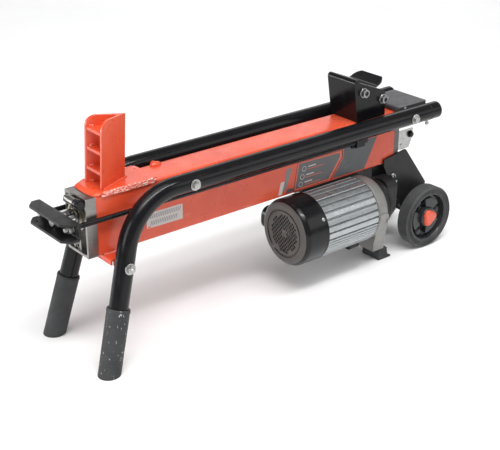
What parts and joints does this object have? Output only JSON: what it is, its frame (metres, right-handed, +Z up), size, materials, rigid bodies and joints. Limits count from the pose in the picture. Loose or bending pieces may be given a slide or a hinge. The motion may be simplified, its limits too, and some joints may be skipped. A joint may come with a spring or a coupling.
{
  "type": "electric log splitter",
  "caption": "Horizontal electric hydraulic log splitter: a ram in a box beam pulls a pusher along side rails towards a fixed wedge.",
  "frame": {"origin": "on the ground at the middle of the machine's bounding box", "axes": "+X along the beam from the wedge end to the wheels, +Y across away from the motor, +Z up"},
  "size_m": [0.928, 0.2343, 0.4283],
  "materials": {
    "red_paint": "glossy orange-red enamel",
    "black_paint": "gloss black powder coat",
    "black_plastic": "black moulded plastic",
    "dark_rubber": "matte dark rubber",
    "tyre_rubber": "matte black tyre rubber",
    "cast_aluminium": "satin cast and machined aluminium",
    "machined_steel": "machined steel",
    "zinc": "bright zinc plate",
    "chrome_rod": "hard chrome, polished",
    "brass": "turned brass",
    "cap_orange": "orange-red plastic",
    "button_green": "green plastic"
  },
  "bodies": {
    "frame": {"axle": "zinc", "beam": "red_paint", "cylinder_tube": "machined_steel", "end_bracket": "cast_aluminium", "fan_cowl": "black_plastic", "foot_sleeve_far": "dark_rubber", "foot_sleeve_near": "dark_rubber", "front_block": "cast_aluminium", "leg_bolt": "zinc", "leg_bracket": "red_paint", "motor_housing": "cast_aluminium", "oil_cap": "black_plastic", "power_inlet": "black_plastic", "pump_housing": "black_paint", "rail_bolt_front_far": "zinc", "rail_bolt_front_near": "zinc", "rail_bolt_rear_far": "zinc", "rail_bolt_rear_near": "zinc", "rear_block": "cast_aluminium", "rear_cover": "black_paint", "rod_gland": "brass", "rubber_foot": "dark_rubber", "stator": "machined_steel", "switch_box": "black_plastic", "switch_lid": "black_plastic", "tube_cap_far": "black_plastic", "tube_cap_near": "black_plastic", "tube_far": "black_paint", "tube_near": "black_paint", "valve_block": "black_paint", "wedge_base": "red_paint", "wedge_blade": "red_paint", "wheel_bracket_far": "black_paint", "wheel_bracket_near": "black_paint", "zinc_bracket": "zinc"},
    "ram": {"piston": "machined_steel", "piston_rod": "chrome_rod", "rod_nut": "zinc", "yoke": "black_paint", "yoke_nut_near": "zinc", "yoke_nut_far": "zinc", "tie_rod_near": "black_paint", "tie_rod_far": "black_paint", "pusher_face": "black_paint", "pusher_cheek_near": "black_paint", "pusher_cheek_far": "black_paint", "pusher_bolt_front": "zinc", "pusher_bolt_rear": "zinc"},
    "wheel_near": {"tyre_near": "tyre_rubber", "hub_near": "black_plastic", "hub_cap_near": "cap_orange"},
    "wheel_far": {"tyre_far": "tyre_rubber", "hub_far": "black_plastic", "hub_cap_far": "cap_orange"},
    "motor_spindle": {"motor_rotor": "machined_steel", "fan": "black_plastic", "drive_gear": "machined_steel"},
    "pump_idler": {"idler_gear": "machined_steel"},
    "lever": {"control_lever": "black_plastic"},
    "button": {"start_button": "button_green"}
  },
  "joints": [
    {"name": "ram_slide", "type": "slide", "parent": "frame", "child": "ram", "axis": [-1, 0, 0], "range_m": [0, 0.368]},
    {"name": "wheel_near_spin", "type": "hinge", "parent": "frame", "child": "wheel_near", "pos_m": [0.397, 0, 0.067], "axis": [0, 1, 0], "continuous": true},
    {"name": "wheel_far_spin", "type": "hinge", "parent": "frame", "child": "wheel_far", "pos_m": [0.397, 0, 0.067], "axis": [0, 1, 0], "continuous": true},
    {"name": "motor_spin", "type": "hinge", "parent": "frame", "child": "motor_spindle", "pos_m": [0, -0.048, 0.125], "axis": [1, 0, 0], "continuous": true},
    {"name": "pump_spin", "type": "hinge", "parent": "frame", "child": "pump_idler", "pos_m": [0, -0.048, 0.149], "axis": [1, 0, 0], "continuous": true},
    {"name": "lever_hinge", "type": "hinge", "parent": "frame", "child": "lever", "pos_m": [0.286, 0.0468, 0.215], "axis": [1, 0, 0], "range_deg": [-12, 0], "stiffness_Nm_per_rad": 2},
    {"name": "start_press", "type": "slide", "parent": "frame", "child": "button", "axis": [0, -1, 0], "range_m": [0, 0.003], "stiffness_N_per_m": 400}
  ],
  "couplings": [
    {"joint": "pump_spin", "follows": "motor_spin", "ratio": -1}
  ]
}
